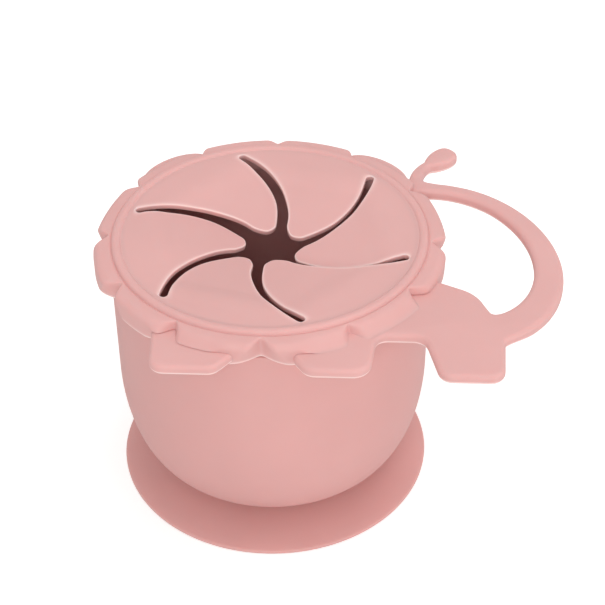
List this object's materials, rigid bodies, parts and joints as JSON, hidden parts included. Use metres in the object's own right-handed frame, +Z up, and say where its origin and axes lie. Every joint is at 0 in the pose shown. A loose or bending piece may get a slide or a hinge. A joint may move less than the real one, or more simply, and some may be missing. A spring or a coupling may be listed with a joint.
{
  "type": "toddler snack container",
  "caption": "Silicone snack cup on a suction base, with a lift-off lion-shaped lid whose slit membrane has spring-back flaps for a small hand and a tail loop to hold.",
  "frame": {"origin": "the cup's axis at the level of the floor", "axes": "+Z up along the cup's axis; the lion's feet point along -Y and its tail lies towards +X"},
  "size_m": [0.1343, 0.1083, 0.085],
  "materials": {
    "cup_silicone": "soft matt silicone",
    "base_silicone": "soft matt silicone, in the cup's shade",
    "lid_silicone": "soft matt silicone"
  },
  "bodies": {
    "cup_and_base": {"cup": "cup_silicone", "suction_base": "base_silicone"},
    "lid": {"mane_ring": "lid_silicone", "ear_left": "lid_silicone", "ear_right": "lid_silicone", "front_leg": "lid_silicone", "lion_body": "lid_silicone", "tail_loop": "lid_silicone"},
    "flap_1": {"flap_1": "lid_silicone"},
    "flap_2": {"flap_2": "lid_silicone"},
    "flap_3": {"flap_3": "lid_silicone"},
    "flap_4": {"flap_4": "lid_silicone"},
    "flap_5": {"flap_5": "lid_silicone"},
    "flap_6": {"flap_6": "lid_silicone"}
  },
  "joints": [
    {"name": "lid_lift", "type": "slide", "parent": "cup_and_base", "child": "lid", "axis": [0, 0, 1], "range_m": [0, 0.06]},
    {"name": "flap_1_bend", "type": "hinge", "parent": "lid", "child": "flap_1", "pos_m": [0.00903, 0.03371, 0.0834], "axis": [0.9659, -0.2588, 0], "range_deg": [-35, 60], "stiffness_Nm_per_rad": 0.004, "springref_deg": -1.58},
    {"name": "flap_2_bend", "type": "hinge", "parent": "lid", "child": "flap_2", "pos_m": [-0.02468, 0.02468, 0.0834], "axis": [0.7071, 0.7071, 0], "range_deg": [-35, 60], "stiffness_Nm_per_rad": 0.004, "springref_deg": -1.57},
    {"name": "flap_3_bend", "type": "hinge", "parent": "lid", "child": "flap_3", "pos_m": [-0.03371, -0.00903, 0.0834], "axis": [-0.2588, 0.9659, 0], "range_deg": [-35, 60], "stiffness_Nm_per_rad": 0.004, "springref_deg": -1.55},
    {"name": "flap_4_bend", "type": "hinge", "parent": "lid", "child": "flap_4", "pos_m": [-0.00903, -0.03371, 0.0834], "axis": [-0.9659, 0.2588, 0], "range_deg": [-35, 60], "stiffness_Nm_per_rad": 0.004, "springref_deg": -1.56},
    {"name": "flap_5_bend", "type": "hinge", "parent": "lid", "child": "flap_5", "pos_m": [0.02468, -0.02468, 0.0834], "axis": [-0.7071, -0.7071, 0], "range_deg": [-35, 60], "stiffness_Nm_per_rad": 0.004, "springref_deg": -1.58},
    {"name": "flap_6_bend", "type": "hinge", "parent": "lid", "child": "flap_6", "pos_m": [0.03371, 0.00903, 0.0834], "axis": [0.2588, -0.9659, 0], "range_deg": [-35, 60], "stiffness_Nm_per_rad": 0.004, "springref_deg": -1.56}
  ]
}
